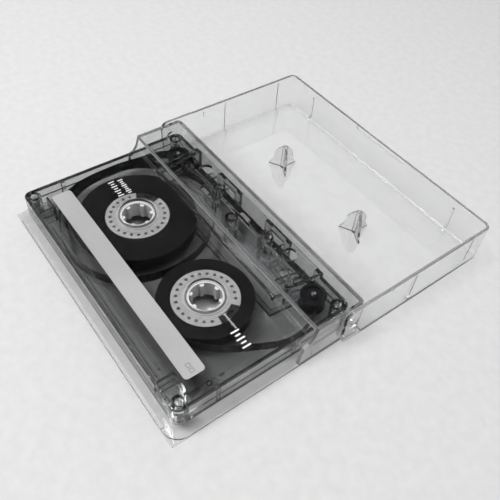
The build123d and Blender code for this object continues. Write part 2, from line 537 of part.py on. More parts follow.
# ================================================================ reels
TAPE_Z = Z_MID - TAPE_WIDTH / 2
for reel, hx, notch, pack_r in (
    ("supply", -HUB_X, NOTCH_SUPPLY, PACK_R_SUPPLY),
    ("takeup", HUB_X, NOTCH_TAKEUP, PACK_R_TAKEUP),
):
    with BuildPart() as hub:
        with BuildSketch(TOP.offset(TAPE_Z)):
            with Locations((hx, HUB_Y)):
                Circle(HUB_R)
        extrude(amount=TAPE_WIDTH)
        # the rim stands a little proud of the web, inside it a bevelled collar
        with BuildSketch(TOP.offset(Z_MID - BARREL_HALF)):
            with Locations((hx, HUB_Y)):
                Circle(HUB_BARREL_R)
        extrude(amount=2 * BARREL_HALF)
        fillet(hub.faces().sort_by(Axis.Z)[-1].edges(), 0.3)
        fillet(hub.faces().sort_by(Axis.Z)[0].edges(), 0.3)
        with BuildSketch(TOP.offset(TAPE_Z + TAPE_WIDTH)):
            with Locations((hx, HUB_Y)):
                Circle(7.0)
        extrude(amount=0.35)
        with BuildSketch(TOP.offset(TAPE_Z - 0.35)):
            with Locations((hx, HUB_Y)):
                Circle(7.0)
        extrude(amount=0.35)
        # bore
        with BuildSketch(TOP):
            with Locations((hx, HUB_Y)):
                Circle(HUB_BORE_R)
        extrude(amount=20, mode=Mode.SUBTRACT)
        # six drive teeth
        for k in range(6):
            a = 60 * k + (12 if reel == "supply" else 41)
            c, s = cos(radians(a)), sin(radians(a))
            tooth = Plane(origin=(hx, Y_SPINE + HUB_Y, Z_MID - 2.6), x_dir=(c, s, 0), z_dir=(0, 0, 1))
            with BuildSketch(tooth):
                Polygon((HUB_BORE_R + 0.3, -0.95), (TOOTH_TIP_R + 0.25, -0.62), (TOOTH_TIP_R, -0.35), (TOOTH_TIP_R, 0.35), (TOOTH_TIP_R + 0.25, 0.62), (HUB_BORE_R + 0.3, 0.95), align=None)
            extrude(amount=5.2)
        # notch for the leader clamp
        with BuildSketch(TOP.offset(TAPE_Z - 1)):
            Polygon(*sector(hx, HUB_Y, NOTCH_IN_R, HUB_R + 1, notch - NOTCH_WIDTH / 2, notch + NOTCH_WIDTH / 2), align=None)
        extrude(amount=TAPE_WIDTH + 2, mode=Mode.SUBTRACT)
        # ring of moulded dimples in both faces of the web
        spots = []
        for k in range(DIMPLES):
            a = notch + (k + 0.5) * 360 / DIMPLES
            if abs((a - notch + 180) % 360 - 180) > NOTCH_WIDTH / 2 + 5:
                spots.append((hx + 9.35 * cos(radians(a)), HUB_Y + 9.35 * sin(radians(a))))
        with BuildSketch(TOP.offset(TAPE_Z + TAPE_WIDTH - DIMPLE_DEEP)):
            with Locations(*spots):
                Circle(DIMPLE_R)
        extrude(amount=DIMPLE_DEEP + 1, mode=Mode.SUBTRACT)
        with BuildSketch(TOP.offset(TAPE_Z - 1)):
            with Locations(*spots):
                Circle(DIMPLE_R)
        extrude(amount=DIMPLE_DEEP + 1, mode=Mode.SUBTRACT)
        # fine groove between the dimpled ring and the smooth one
        for z in (TAPE_Z + TAPE_WIDTH - 0.12, TAPE_Z - 0.12):
            with BuildSketch(TOP.offset(z)):
                Polygon(*sector(hx, HUB_Y, 8.28, 8.45, notch + NOTCH_WIDTH / 2 + 3, notch + 357 - NOTCH_WIDTH / 2, 60), align=None)
            extrude(amount=0.24, mode=Mode.SUBTRACT)
    hub.part.label = f"{reel}_hub"
    export_step(hub.part, f"parts/{reel}_hub.step")

    with BuildPart() as clamp:
        with BuildSketch(TOP.offset(TAPE_Z + 0.1)):
            Polygon(*sector(hx, HUB_Y, NOTCH_IN_R + 0.12, HUB_R - 0.05, notch - NOTCH_WIDTH / 2 + 1.0, notch + NOTCH_WIDTH / 2 - 1.0), align=None)
        extrude(amount=TAPE_WIDTH - 0.2)
        with BuildSketch(TOP.offset(TAPE_Z + TAPE_WIDTH - 0.8)):
            Polygon(*sector(hx, HUB_Y, 9.1, 10.1, notch - 9, notch + 9), align=None)
        extrude(amount=1.0, mode=Mode.SUBTRACT)
    clamp.part.label = f"{reel}_clamp"
    export_step(clamp.part, f"parts/{reel}_clamp.step")

    with BuildPart() as pack:
        with BuildSketch(TOP.offset(TAPE_Z)):
            with Locations((hx, HUB_Y)):
                Circle(pack_r)
                Circle(HUB_R + 0.05, mode=Mode.SUBTRACT)
        extrude(amount=TAPE_WIDTH)
    pack.part.label = f"{reel}_pack"
    export_step(pack.part, f"parts/{reel}_pack.step")

# ================================================================ tape from pack to pack: slack, with one loose turn round the supply pack
SLACK = [                                     # the loose turn, clockwise seen from above
    (-17.2, -57.95), (-21.3, -58.35), (-26.0, -58.6), (-31.0, -58.0), (-36.0, -56.3), (-40.3, -53.6), (-43.6, -50.2),
    (-45.9, -46.2), (-47.3, -41.8), (-47.9, -37.0), (-48.0, -31.5), (-47.5, -27.0), (-45.9, -22.9),
    (-43.3, -19.2), (-39.6, -15.6), (-34.8, -12.2), (-29.2, -9.6), (-23.6, -8.3), (-18.0, -8.7), (-12.4, -11.0),
    (-7.8, -14.0), (-3.9, -17.4), (-0.6, -21.4), (2.0, -25.8), (3.9, -31.0), (4.8, -36.6), (4.7, -42.4), (3.4, -48.0),
    (0.8, -53.6), (-2.9, -58.2), (-7.6, -61.2), (-13.0, -63.2), (-18.8, -64.1), (-24.6, -63.4), (-30.4, -61.8), (-36.0, -59.6),
    (-41.0, -56.6), (-44.9, -52.3), (-47.0, -47.4), (-48.15, -42.0), (-48.5, -36.0), (-48.5, -29.5), (-47.85, -24.0),
    (-47.1, -18.6), (-45.6, -13.4),
]
RETURN = [                                    # from the right-hand roller to the take-up pack
    (45.0, -12.9), (46.5, -16.6), (47.4, -20.6), (47.45, -24.6), (46.4, -28.4), (44.7, -32.2), (42.8, -35.9),
    (40.8, -39.6), (38.5, -43.1), (35.6, -46.6), (32.1, -49.5), (28.4, -51.3),
]
TAPE_SLACK_Z = Z_MID - TAPE_WIDTH / 2
RR = ROLLER_R + TAPE_GAP + TAPE_T / 2


def tape_path():
    """The tape's middle line: loose turn, left roller, front run, right roller, slack return."""
    def arc(cx, a0, a1, n):
        return [(cx + RR * cos(radians(a0 + (a1 - a0) * i / n)), ROLLER_Y + RR * sin(radians(a0 + (a1 - a0) * i / n))) for i in range(n + 1)]
    front = [(x, ROLLER_Y + RR) for x in (-33.0, -26.0, -19.0, -12.0, -5.0, 0.0, 5.0, 12.0, 19.0, 26.0, 33.0)]
    return SLACK + arc(-ROLLER_X, 188, 90, 7) + front + arc(ROLLER_X, 90, -8, 7) + RETURN


def smooth(points, per=4):
    """A centripetal Catmull-Rom line through the points."""
    out = []
    for i in range(len(points) - 1):
        p = [points[max(i - 1, 0)], points[i], points[i + 1], points[min(i + 2, len(points) - 1)]]
        if i == 0:
            p[0] = (2 * p[1][0] - p[2][0], 2 * p[1][1] - p[2][1])
        if i == len(points) - 2:
            p[3] = (2 * p[2][0] - p[1][0], 2 * p[2][1] - p[1][1])
        t = [0.0]
        for j in range(3):
            t.append(t[-1] + hypot(p[j + 1][0] - p[j][0], p[j + 1][1] - p[j][1]) ** 0.5)
        for k in range(per):
            u = t[1] + (t[2] - t[1]) * k / per
            mix = lambda q0, q1, t0, t1: tuple((t1 - u) / (t1 - t0) * a + (u - t0) / (t1 - t0) * b for a, b in zip(q0, q1))
            a1, a2, a3 = mix(p[0], p[1], t[0], t[1]), mix(p[1], p[2], t[1], t[2]), mix(p[2], p[3], t[2], t[3])
            b1, b2 = mix(a1, a2, t[0], t[2]), mix(a2, a3, t[1], t[3])
            out.append(mix(b1, b2, t[1], t[2]))
    return out + [points[-1]]


TAPE_LINE = smooth(tape_path())
with BuildPart() as tape_run:
    with BuildSketch(TOP.offset(TAPE_SLACK_Z)):
        Polygon(*strip(TAPE_LINE, TAPE_T), align=None)
    extrude(amount=TAPE_WIDTH)
tape_run.part.label = "tape_run"
export_step(tape_run.part, "parts/tape_run.step")

# ================================================================ slip sheets
for name, z in (("slip_sheet_upper", Z_MID + 2.55), ("slip_sheet_lower", Z_MID - 2.67)):
    with BuildPart() as sheet:
        with BuildSketch(TOP.offset(z)):
            block(-46.4, 46.4, -61.2, -17.4, 2.0)
            with Locations((-HUB_X, HUB_Y), (HUB_X, HUB_Y)):
                Circle(7.4, mode=Mode.SUBTRACT)
            block_cut(-50.0, -37.9, -63.0, -58.9)
            block_cut(37.9, 50.0, -63.0, -58.9)
        extrude(amount=0.12)
    sheet.part.label = name
    export_step(sheet.part, f"parts/{name}.step")

# ================================================================ guide rollers and their pins
for side, rx in (("left", -ROLLER_X), ("right", ROLLER_X)):
    with BuildPart() as roller:
        with BuildSketch(TOP.offset(Z_MID - 2.6)):
            with Locations((rx, ROLLER_Y)):
                Circle(FLANGE_R)
        extrude(amount=5.2)
        with BuildSketch(TOP.offset(Z_MID - 2.1)):
            with Locations((rx, ROLLER_Y)):
                Circle(FLANGE_R + 1)
                Circle(ROLLER_R, mode=Mode.SUBTRACT)
        extrude(amount=4.2, mode=Mode.SUBTRACT)
        for z in (Z_MID + 2.6 - 0.7, Z_MID - 2.6):
            with BuildSketch(TOP.offset(z)):
                with Locations((rx, ROLLER_Y)):
                    Circle(3.3)
                    Circle(1.7, mode=Mode.SUBTRACT)
            extrude(amount=0.7, mode=Mode.SUBTRACT)
        with BuildSketch(TOP):
            with Locations((rx, ROLLER_Y)):
                Circle(ROLLER_BORE_R)
        extrude(amount=20, mode=Mode.SUBTRACT)
    roller.part.label = f"roller_{side}"
    export_step(roller.part, f"parts/roller_{side}.step")

    with BuildPart() as pin:
        with BuildSketch(TOP.offset(FLOOR_IN - 0.4)):
            with Locations((rx, ROLLER_Y)):
                Circle(PIN_R)
        extrude(amount=FACE_IN - FLOOR_IN + 0.8)
        chamfer(pin.faces().sort_by(Axis.Z)[-1].edges(), 0.15)
    pin.part.label = f"roller_pin_{side}"
    export_step(pin.part, f"parts/roller_pin_{side}.step")

# ================================================================ pressure pad, leaf spring, shield
with BuildPart() as pressure_pad:
    with BuildSketch(TOP.offset(Z_MID - 1.75)):
        block(-2.6, 2.6, -7.6, -5.75, 0.35)
    extrude(amount=3.5)
pressure_pad.part.label = "pressure_pad"
export_step(pressure_pad.part, "parts/pressure_pad.step")

with BuildPart() as pad_spring:
    with BuildSketch(TOP.offset(Z_MID - 2.2)):
        Polygon(
            (-10.4, -9.05), (-9.0, -9.05), (-3.4, -7.8), (3.4, -7.8), (9.0, -9.05), (10.4, -9.05),
            (10.4, -8.85), (9.0, -8.85), (3.4, -7.6), (-3.4, -7.6), (-9.0, -8.85), (-10.4, -8.85), align=None,
        )
    extrude(amount=4.4)
pad_spring.part.label = "pad_spring"
export_step(pad_spring.part, "parts/pad_spring.step")

with BuildPart() as shield_plate:
    with BuildSketch(TOP.offset(Z_MID - 2.9)):
        block(-11.0, 11.0, -9.6, -9.2)
        block(-11.0, -10.6, -9.6, -8.2)
        block(10.6, 11.0, -9.6, -8.2)
    extrude(amount=5.8)
shield_plate.part.label = "shield_plate"
export_step(shield_plate.part, "parts/shield_plate.step")
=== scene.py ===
"""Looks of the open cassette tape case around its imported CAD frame. Metres, in the CAD's frame."""
from math import atan2, cos, degrees, hypot, pi, radians, sin

import bmesh
import bpy
from mathutils import Matrix, Vector, noise


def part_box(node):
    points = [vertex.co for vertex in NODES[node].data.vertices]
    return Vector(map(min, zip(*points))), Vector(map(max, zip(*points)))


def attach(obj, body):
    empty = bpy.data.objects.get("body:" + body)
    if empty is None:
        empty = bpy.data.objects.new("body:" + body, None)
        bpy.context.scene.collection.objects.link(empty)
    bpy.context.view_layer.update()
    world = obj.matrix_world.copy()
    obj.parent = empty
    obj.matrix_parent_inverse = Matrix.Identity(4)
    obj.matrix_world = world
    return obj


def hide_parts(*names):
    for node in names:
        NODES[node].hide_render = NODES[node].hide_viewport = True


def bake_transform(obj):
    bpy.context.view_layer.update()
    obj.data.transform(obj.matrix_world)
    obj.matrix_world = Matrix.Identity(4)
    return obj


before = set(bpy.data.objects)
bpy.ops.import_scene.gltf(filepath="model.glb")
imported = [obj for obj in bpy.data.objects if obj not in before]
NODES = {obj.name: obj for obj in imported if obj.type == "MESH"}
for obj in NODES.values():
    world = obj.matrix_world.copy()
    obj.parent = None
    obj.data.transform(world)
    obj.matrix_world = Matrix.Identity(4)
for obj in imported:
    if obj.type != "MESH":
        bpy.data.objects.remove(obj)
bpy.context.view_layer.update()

Y0 = 0.0052           # section Y = 0 of the part, the outer face of the spine
HUB_X, HUB_Y = 0.02125, Y0 - 0.0373
POST_Y = 0.0285       # the hub posts, in section Y

FLOOR_TONE = 0.57
WALL = 1.4

# ---------------------------------------------------------------- camera, at the photograph's viewing angle
turn = Vector((2.17521268, 1.13123029, -0.34511613))
world_to_view = Matrix.Rotation(turn.length, 3, turn.normalized())
view_to_world = world_to_view.transposed() @ Matrix(((1, 0, 0), (0, -1, 0), (0, 0, -1)))
camera = bpy.data.objects.new("camera", bpy.data.cameras.new("camera"))
bpy.context.scene.collection.objects.link(camera)
camera.matrix_world = Matrix.Translation((0.114670, -0.095840, 0.162080)) @ view_to_world.to_4x4()
camera.data.sensor_width = 36.0
camera.data.lens = 43.606
camera.data.clip_start = 0.001
camera.data.clip_end = 50.0
bpy.context.scene.camera = camera


# ---------------------------------------------------------------- material helpers
class Tree:
    """A small builder of node materials."""

    def __init__(self, name):
        self.mat = bpy.data.materials.new(name)
        self.mat.use_nodes = True
        self.nt = self.mat.node_tree
        self.nt.nodes.clear()
        self.out = self.nt.nodes.new("ShaderNodeOutputMaterial")
        self.coord = self.nt.nodes.new("ShaderNodeTexCoord")

    def node(self, kind, **values):
        n = self.nt.nodes.new(kind)
        for key, value in values.items():
            if key.startswith("_"):
                setattr(n, key[1:], value)
            else:
                self.put(n.inputs[key.replace("__", " ")], value)
        return n

    def put(self, socket, value):
        if isinstance(value, bpy.types.NodeSocket):
            self.nt.links.new(value, socket)
        elif isinstance(value, bpy.types.Node):
            self.nt.links.new(value.outputs[0], socket)
        else:
            socket.default_value = value

    def math(self, operation, a, b=0.0, c=0.0, clamp=False):
        n = self.nt.nodes.new("ShaderNodeMath")
        n.operation = operation
        n.use_clamp = clamp
        for socket, value in zip(n.inputs, (a, b, c)):
            self.put(socket, value)
        return n.outputs[0]

    def noise(self, scale, detail=2.0, rough=0.5, at=None, stretch=None):
        vector = at if at is not None else self.coord.outputs["Object"]
        if stretch is not None:
            m = self.nt.nodes.new("ShaderNodeMapping")
            m.inputs["Scale"].default_value = stretch
            self.nt.links.new(vector, m.inputs["Vector"])
            vector = m.outputs[0]
        n = self.nt.nodes.new("ShaderNodeTexNoise")
        n.inputs["Scale"].default_value = scale
        n.inputs["Detail"].default_value = detail
        n.inputs["Roughness"].default_value = rough
        self.nt.links.new(vector, n.inputs["Vector"])
        return n.outputs["Fac"]

    def ramp(self, fac, stops, interpolation="LINEAR"):
        n = self.nt.nodes.new("ShaderNodeValToRGB")
        n.color_ramp.interpolation = interpolation
        while len(n.color_ramp.elements) < len(stops):
            n.color_ramp.elements.new(0.5)
        for e, (position, colour) in zip(n.color_ramp.elements, stops):
            e.position = position
            e.color = (colour, colour, colour, 1) if isinstance(colour, (int, float)) else (*colour, 1)
        self.put(n.inputs["Fac"], fac)
        return n.outputs["Color"]

    def range(self, fac, a, b, c, d, smooth=False):
        n = self.nt.nodes.new("ShaderNodeMapRange")
        if smooth:
            n.interpolation_type = "SMOOTHSTEP"
        for socket, value in zip(list(n.inputs)[:5], (fac, a, b, c, d)):
            self.put(socket, value)
        return n.outputs["Result"]

    def bump(self, height, strength, distance, normal=None):
        n = self.nt.nodes.new("ShaderNodeBump")
        n.inputs["Strength"].default_value = strength
        n.inputs["Distance"].default_value = distance
        self.put(n.inputs["Height"], height)
        if normal is not None:
            self.put(n.inputs["Normal"], normal)
        return n.outputs["Normal"]

    def finish(self, shader):
        self.nt.links.new(shader.outputs[0] if isinstance(shader, bpy.types.Node) else shader, self.out.inputs["Surface"])
        return self.mat


def clear_plastic(name, low, high, ior=1.59, rough=(0.015, 0.07), shadow=0.95, waviness=0.05, scuffs=0.10, absorb=None, frost=None, marks=None):
    """Transparent moulded plastic: bends light for the eye, lets lamps' light through to what is behind it.
    absorb is what the plastic's depth takes off, per metre; frost(t) gives where its moulded edges are dull,
    marks(t) where it is stained."""
    t = Tree(name)
    broad = t.noise(110, 2.0)
    fine = t.noise(900, 4.0, 0.6)
    scuff = t.noise(60, 3.0, 0.7, stretch=(1.0, 14.0, 6.0))
    colour = t.ramp(broad, [(0.3, low), (0.7, high)])
    if marks:
        mix = t.nt.nodes.new("ShaderNodeMix")
        mix.data_type = "RGBA"
        t.put(mix.inputs["Factor"], marks(t))
        t.put(mix.inputs["A"], colour)
        mix.inputs["B"].default_value = (0.05, 0.05, 0.05, 1)
        colour = mix.outputs["Result"]
    scratched = t.range(scuff, 0.62, 0.72, 0.0, scuffs)
    roughness = t.math("ADD", t.range(fine, 0.3, 0.75, rough[0], rough[1]), scratched)
    if frost:
        roughness = t.math("ADD", roughness, t.math("MULTIPLY", frost(t), FROST), clamp=True)
    p = t.node(
        "ShaderNodeBsdfPrincipled",
        Base__Color=colour, Roughness=roughness, IOR=ior,
        Normal=t.bump(t.noise(55, 1.0), waviness, 0.0004),
    )
    p.inputs["Transmission Weight"].default_value = 1.0
    path = t.node("ShaderNodeLightPath")
    seen = t.node("ShaderNodeBsdfTransparent")
    seen.inputs["Color"].default_value = (shadow, shadow, shadow, 1)
    inner = t.node("ShaderNodeMixShader")
    t.put(inner.inputs[0], path.outputs["Is Diffuse Ray"])
    t.put(inner.inputs[1], p)
    t.put(inner.inputs[2], seen)
    outer = t.node("ShaderNodeMixShader")
    t.put(outer.inputs[0], path.outputs["Is Shadow Ray"])
    t.put(outer.inputs[1], inner)
    t.put(outer.inputs[2], seen)
    if absorb:
        depth = t.node("ShaderNodeVolumeAbsorption")
        depth.inputs["Color"].default_value = (0.5, 0.5, 0.5, 1)
        depth.inputs["Density"].default_value = absorb * 2
        t.nt.links.new(depth.outputs[0], t.out.inputs["Volume"])
    return t.finish(outer)


FROST = 0.5


def above(t, value, level, soft=0.00006):
    return t.range(value, level - soft, level + soft, 0.0, 1.0)


def section(t):
    """The part's own x, its section y and z, in metres."""
    xyz = t.node("ShaderNodeSeparateXYZ", Vector=t.coord.outputs["Object"])
    return t.math("ABSOLUTE", xyz.outputs["X"]), t.math("SUBTRACT", xyz.outputs["Y"], Y0), xyz.outputs["Z"]


def tray_edges(t):
    x, y, z = section(t)
    rim = above(t, z, 0.01535)
    foot = t.math("MULTIPLY", t.math("SUBTRACT", 1.0, above(t, z, 0.0012)), t.math("MAXIMUM", above(t, x, 0.05435), above(t, y, 0.05895)))
    # the hub posts are hazier than the polished walls
    u, v = t.math("SUBTRACT", x, HUB_X), t.math("SUBTRACT", y, POST_Y)
    near = t.math("SQRT", t.math("ADD", t.math("MULTIPLY", u, u), t.math("MULTIPLY", v, v)))
    post = t.math("MULTIPLY", t.math("SUBTRACT", 1.0, above(t, near, 0.0085)), t.range(z, 0.0013, 0.0016, 0.0, 0.45))
    return t.math("MAXIMUM", t.math("MAXIMUM", rim, post), foot)


def lid_edges(t):
    x, y, z = section(t)
    back = t.math("MULTIPLY", y, -1.0)
    free = t.math("MULTIPLY", above(t, back, 0.0187), above(t, z, 0.0141))
    # the side walls' free edges, along their stepped profile
    profile = t.ramp(t.math("DIVIDE", z, 0.0155), [
        (0.0, 0.246), (0.219, 0.244), (0.413, 0.240), (0.548, 0.233), (0.613, 0.214), (0.735, 0.200), (1.0, 0.188),
    ])
    wall = t.math("MULTIPLY", above(t, t.math("SUBTRACT", t.math("MULTIPLY", back, 10.0), profile), -0.002, 0.0005), above(t, z, 0.0013))
    ridge = t.math("MULTIPLY", above(t, z, 0.01525), t.math("MAXIMUM", above(t, x, 0.0527), above(t, y, -0.0004)))
    rim = t.math("MULTIPLY", t.math("SUBTRACT", 1.0, above(t, z, 0.00125)), t.math("MAXIMUM", above(t, x, 0.05298), above(t, back, 0.06938)))
    return t.math("MAXIMUM", t.math("MAXIMUM", free, wall), t.math("MAXIMUM", ridge, rim))


def solid(name, low, high, rough=(0.3, 0.45), scale=300, spec=0.5, metal=0.0, bump=0.1, depth=0.00005, bump_scale=1200):
    t = Tree(name)
    colour = t.ramp(t.noise(scale, 3.0), [(0.3, low), (0.7, high)])
    roughness = t.range(t.noise(scale * 3, 3.0), 0.3, 0.7, rough[0], rough[1])
    p = t.node(
        "ShaderNodeBsdfPrincipled", Base__Color=colour, Roughness=roughness,
        Normal=t.bump(t.noise(bump_scale, 2.0), bump, depth),
    )
    p.inputs["Specular IOR Level"].default_value = spec
    p.inputs["Metallic"].default_value = metal
    return t.finish(p)


def hub_radius(t):
    """Distance from the nearer hub's axis, and the angle round it."""
    xyz = t.node("ShaderNodeSeparateXYZ", Vector=t.coord.outputs["Object"])
    x = t.math("SUBTRACT", t.math("ABSOLUTE", xyz.outputs["X"]), HUB_X)
    y = t.math("SUBTRACT", xyz.outputs["Y"], HUB_Y)
    return t.math("SQRT", t.math("ADD", t.math("MULTIPLY", x, x), t.math("MULTIPLY", y, y))), t.math("ARCTAN2", y, x)


def line_noise(t, w, scale, detail=2.0):
    """Noise along one number only."""
    n = t.nt.nodes.new("ShaderNodeTexNoise")
    n.noise_dimensions = "1D"
    n.inputs["Scale"].default_value = scale
    n.inputs["Detail"].default_value = detail
    t.put(n.inputs["W"], w)
    return n.outputs["Fac"]


def wound_tape(name):
    """The edge of wound tape: nearly black, in faint rings."""
    t = Tree(name)
    r, _ = hub_radius(t)
    rings = line_noise(t, r, 2600, 4.0)
    fine = line_noise(t, r, 16000, 2.0)
    both = t.math("ADD", t.math("MULTIPLY", rings, 0.65), t.math("MULTIPLY", fine, 0.35))
    p = t.node(
        "ShaderNodeBsdfPrincipled",
        Base__Color=t.ramp(both, [(0.35, (0.0022, 0.0022, 0.0023)), (0.62, (0.0055, 0.0054, 0.0053)), (0.75, (0.011, 0.0108, 0.0106))]),
        Roughness=t.range(rings, 0.3, 0.7, 0.28, 0.46),
        Normal=t.bump(both, 0.25, 0.00003),
    )
    p.inputs["Specular IOR Level"].default_value = 0.2
    return t.finish(p)


def moulded_hub(name):
    """Off-white acetal: fine moulding swirl, and a painted shadow round the barrel."""
    t = Tree(name)
    r, angle = hub_radius(t)
    swirl = line_noise(t, t.math("ADD", t.math("MULTIPLY", r, 900), angle), 1.0, 3.0)
    grain = t.noise(700, 3.0)
    tone = t.math("ADD", t.math("MULTIPLY", swirl, 0.5), t.math("MULTIPLY", grain, 0.5))
    # painted shadow: a dark ring round the barrel, where the gap to the shell's hole lies in shade
    gap_shadow = t.math("MULTIPLY", t.range(r, 0.00597, 0.00602, 0.0, 1.0), t.range(r, 0.00638, 0.0068, 1.0, 0.0))
    mix = t.nt.nodes.new("ShaderNodeMix")
    mix.data_type = "RGBA"
    t.put(mix.inputs["Factor"], t.math("MULTIPLY", gap_shadow, t.range(grain, 0.3, 0.7, 0.7, 0.95)))
    t.put(mix.inputs["A"], t.ramp(tone, [(0.35, (0.52, 0.52, 0.517)), (0.65, (0.62, 0.62, 0.616))]))
    mix.inputs["B"].default_value = (0.06, 0.06, 0.06, 1)
    p = t.node(
        "ShaderNodeBsdfPrincipled",
        Base__Color=mix.outputs["Result"],
        Roughness=t.range(grain, 0.3, 0.7, 0.26, 0.4),
        Normal=t.bump(grain, 0.12, 0.00003),
    )
    p.inputs["Subsurface Weight"].default_value = 0.0
    return t.finish(p)


def label_paper(name):
    """Matt label paper: fibres, a slow change of tone and two empty tick boxes at one end."""
    t = Tree(name)
    xyz = t.node("ShaderNodeSeparateXYZ", Vector=t.coord.outputs["Object"])
    x, y = xyz.outputs["X"], xyz.outputs["Y"]
    slow = t.noise(28, 2.0)
    fibre = t.noise(900, 5.0, 0.65, stretch=(1.0, 2.4, 1.0))
    tone = t.math("ADD", t.math("MULTIPLY", slow, 0.7), t.math("MULTIPLY", fibre, 0.3))
    paper = t.ramp(tone, [(0.30, (0.29, 0.29, 0.293)), (0.70, (0.39, 0.39, 0.39))])

    def band(value, low, high, soft=0.00002):
        up = t.range(value, low - soft, low + soft, 0.0, 1.0)
        down = t.range(value, high - soft, high + soft, 1.0, 0.0)
        return t.math("MULTIPLY", up, down)

    def box(x0, x1, y0, y1, line=0.00016):
        outer = t.math("MULTIPLY", band(x, x0, x1), band(y, y0, y1))
        inner = t.math("MULTIPLY", band(x, x0 + line, x1 - line), band(y, y0 + line, y1 - line))
        return t.math("SUBTRACT", outer, inner, clamp=True)

    ink = box(0.0388, 0.0402, Y0 - 0.0561, Y0 - 0.0547)
    ink = t.math("MAXIMUM", ink, box(0.0407, 0.0421, Y0 - 0.0561, Y0 - 0.0547))
    mix = t.nt.nodes.new("ShaderNodeMix")
    mix.data_type = "RGBA"
    t.put(mix.inputs["Factor"], t.math("MULTIPLY", ink, 0.8))
    t.put(mix.inputs["A"], paper)
    mix.inputs["B"].default_value = (0.05, 0.05, 0.055, 1)
    p = t.node(
        "ShaderNodeBsdfPrincipled",
        Base__Color=mix.outputs["Result"],
        Roughness=t.range(fibre, 0.3, 0.7, 0.5, 0.68),
        Normal=t.bump(fibre, 0.18, 0.00004),
    )
    p.inputs["Specular IOR Level"].default_value = 0.35
    return t.finish(p)


def ejector_marks(t):
    """A ring and a short bar that the mould left in the upper shell's face."""
    xyz = t.node("ShaderNodeSeparateXYZ", Vector=t.coord.outputs["Object"])
    x, y, z = xyz.outputs["X"], xyz.outputs["Y"], xyz.outputs["Z"]
    u, v = t.math("SUBTRACT", x, 0.0475), t.math("SUBTRACT", y, Y0 - 0.0536)
    r = t.math("SQRT", t.math("ADD", t.math("MULTIPLY", u, u), t.math("MULTIPLY", v, v)))
    ring = t.math("MULTIPLY", t.range(r, 0.00055, 0.00065, 0.0, 1.0), t.range(r, 0.00085, 0.00095, 1.0, 0.0))
    u, v = t.math("ABSOLUTE", t.math("SUBTRACT", x, 0.0472)), t.math("ABSOLUTE", t.math("SUBTRACT", y, Y0 - 0.0492))
    bar = t.math("MULTIPLY", t.range(u, 0.00035, 0.00055, 1.0, 0.0), t.range(v, 0.0008, 0.0010, 1.0, 0.0))
    both = t.math("MAXIMUM", ring, t.math("MULTIPLY", bar, 0.8))
    return t.math("MULTIPLY", both, above(t, z, 0.0113))


UPPER = clear_plastic("smoke_polystyrene_upper", (0.93, 0.935, 0.94), (0.97, 0.975, 0.98), shadow=0.975, rough=(0.006, 0.03), waviness=0.03, scuffs=0.04, absorb=130, marks=ejector_marks)
# painted shade: the same smoke plastic as the upper shell, given a darker shadow tint and more absorption to darken
# what is seen beneath the cassette
LOWER = clear_plastic("smoke_polystyrene_lower", (0.93, 0.935, 0.94), (0.97, 0.975, 0.98), shadow=0.965, rough=(0.006, 0.03), waviness=0.03, scuffs=0.04, absorb=165)
CASE = ((0.95, 0.955, 0.955), (0.985, 0.99, 0.99))
MATS = {
    "clear_case": clear_plastic("clear_polystyrene_lid", *CASE, shadow=0.98, rough=(0.008, 0.04), scuffs=0.05, absorb=40, frost=lid_edges),
    "smoke_shell": UPPER,
    "hub_plastic": moulded_hub("hub_acetal"),
    "clamp_plastic": solid("clamp_plastic", (0.012, 0.012, 0.012), (0.03, 0.03, 0.03)),
    "tape": wound_tape("tape_pack"),
    "roller_plastic": solid("roller_plastic", (0.005, 0.005, 0.006), (0.012, 0.012, 0.013), spec=0.25),
    "steel": solid("plated_steel", (0.55, 0.55, 0.56), (0.7, 0.7, 0.71), rough=(0.2, 0.35), metal=1.0),
    "spring_bronze": solid("spring_bronze", (0.15, 0.14, 0.13), (0.21, 0.20, 0.185), rough=(0.3, 0.45), metal=1.0),
    "shield_metal": solid("shield_metal", (0.4, 0.4, 0.41), (0.5, 0.5, 0.51), rough=(0.3, 0.4), metal=1.0),
    "felt": solid("felt", (0.3, 0.29, 0.27), (0.42, 0.4, 0.38), rough=(0.85, 0.95)),
    "paper": label_paper("label_paper"),
    "liner": clear_plastic("liner_film_upper", (0.93, 0.93, 0.93), (0.97, 0.97, 0.97), shadow=0.985, rough=(0.01, 0.04), waviness=0.02, scuffs=0.02),
}
OWN = {
    "case_tray": clear_plastic("clear_polystyrene_tray", *CASE, shadow=0.98, rough=(0.008, 0.04), scuffs=0.05, absorb=40, frost=tray_edges),
    "shell_lower": LOWER,
    # the lower film has a grey tint of its own, and is made darker than the upper film as painted shade in the gap
    # between the packs
    "slip_sheet_lower": clear_plastic("liner_film_lower", (0.80, 0.80, 0.80), (0.86, 0.86, 0.86), shadow=0.95, rough=(0.02, 0.08), waviness=0.02, scuffs=0.04),
    "tape_run": solid("tape_ribbon", (0.012, 0.0118, 0.0115), (0.028, 0.027, 0.026), rough=(0.16, 0.3), scale=120, spec=0.6),
}
for name, o in NODES.items():
    for s in o.material_slots:
        key = s.material.name.split(".")[0] if s.material else ""
        if name in OWN:
            s.material = OWN[name]
        elif key in MATS:
            s.material = MATS[key]
        else:
            print("NO MATERIAL FOR", name, key)

# ---------------------------------------------------------------- printed marks, felt pad, leaf spring
def mesh_object(name, verts, faces):
    mesh = bpy.data.meshes.new(name)
    mesh.from_pydata(verts, [], faces)
    mesh.validate()
    o = bpy.data.objects.new(name, mesh)
    bpy.context.scene.collection.objects.link(o)
    return o


